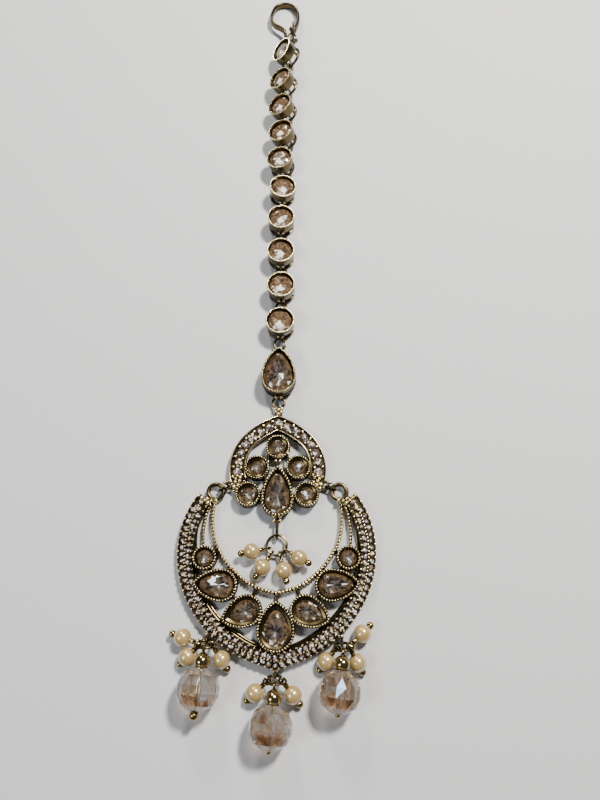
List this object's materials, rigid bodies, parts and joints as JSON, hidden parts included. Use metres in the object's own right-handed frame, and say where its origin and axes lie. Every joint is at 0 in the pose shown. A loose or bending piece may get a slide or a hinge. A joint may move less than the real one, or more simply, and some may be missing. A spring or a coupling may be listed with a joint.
{
  "type": "maang tikka",
  "caption": "Forehead jewel lying on its back: hair hook, chain of round stone cups, pear drop, arched stone-set plate and a crescent hung with pearls and cut crystal beads.",
  "frame": {"origin": "on the flat back of the crescent's middle pear setting, where the jewel lies on the surface", "axes": "+X to the jewel's right as seen from its front, +Y up the chain to the hair hook, +Z out of the jewel's front, up from the surface it lies on"},
  "size_m": [0.0404, 0.1906, 0.0078],
  "materials": {
    "antique_brass": "oxidised antique gold plate, worn bright on its edges",
    "champagne_stone": "cut glass with a foiled back",
    "cream_pearl": "imitation pearl, satin gloss",
    "champagne_crystal": "clear cut crystal bead, polished"
  },
  "bodies": {
    "root": {"arch_pear_stone": "champagne_stone", "arch_plate": "antique_brass", "chain_cup_01": "antique_brass", "chain_cup_02": "antique_brass", "chain_cup_03": "antique_brass", "chain_cup_04": "antique_brass", "chain_cup_05": "antique_brass", "chain_cup_06": "antique_brass", "chain_cup_07": "antique_brass", "chain_cup_08": "antique_brass", "chain_cup_09": "antique_brass", "chain_cup_10": "antique_brass", "chain_link_01": "antique_brass", "chain_link_02": "antique_brass", "chain_link_03": "antique_brass", "chain_link_04": "antique_brass", "chain_link_05": "antique_brass", "chain_link_06": "antique_brass", "chain_link_07": "antique_brass", "chain_link_08": "antique_brass", "chain_link_09": "antique_brass", "chain_link_10": "antique_brass", "chain_link_11": "antique_brass", "crescent": "antique_brass", "crescent_stone_centre": "champagne_stone", "crescent_stone_left_high": "champagne_stone", "crescent_stone_left_low": "champagne_stone", "crescent_stone_right_high": "champagne_stone", "crescent_stone_right_low": "champagne_stone", "crystal_centre": "champagne_crystal", "crystal_left": "champagne_crystal", "crystal_right": "champagne_crystal", "drop_ring_centre": "antique_brass", "drop_ring_left": "antique_brass", "drop_ring_right": "antique_brass", "hair_hook": "antique_brass", "hook_ring_1": "antique_brass", "hook_ring_2": "antique_brass", "pear_drop": "antique_brass", "pear_drop_stone": "champagne_stone", "pearl_centre_1": "cream_pearl", "pearl_centre_2": "cream_pearl", "pearl_left_1": "cream_pearl", "pearl_left_2": "cream_pearl", "pearl_left_3": "cream_pearl", "pearl_link_middle": "antique_brass", "pearl_middle_1": "cream_pearl", "pearl_middle_2": "cream_pearl", "pearl_middle_3": "cream_pearl", "pearl_middle_4": "cream_pearl", "pearl_right_1": "cream_pearl", "pearl_right_2": "cream_pearl", "pearl_right_3": "cream_pearl", "pearl_ring_middle": "antique_brass", "plate_link": "antique_brass", "side_link_left": "antique_brass", "side_link_right": "antique_brass"}
  },
  "joints": []
}
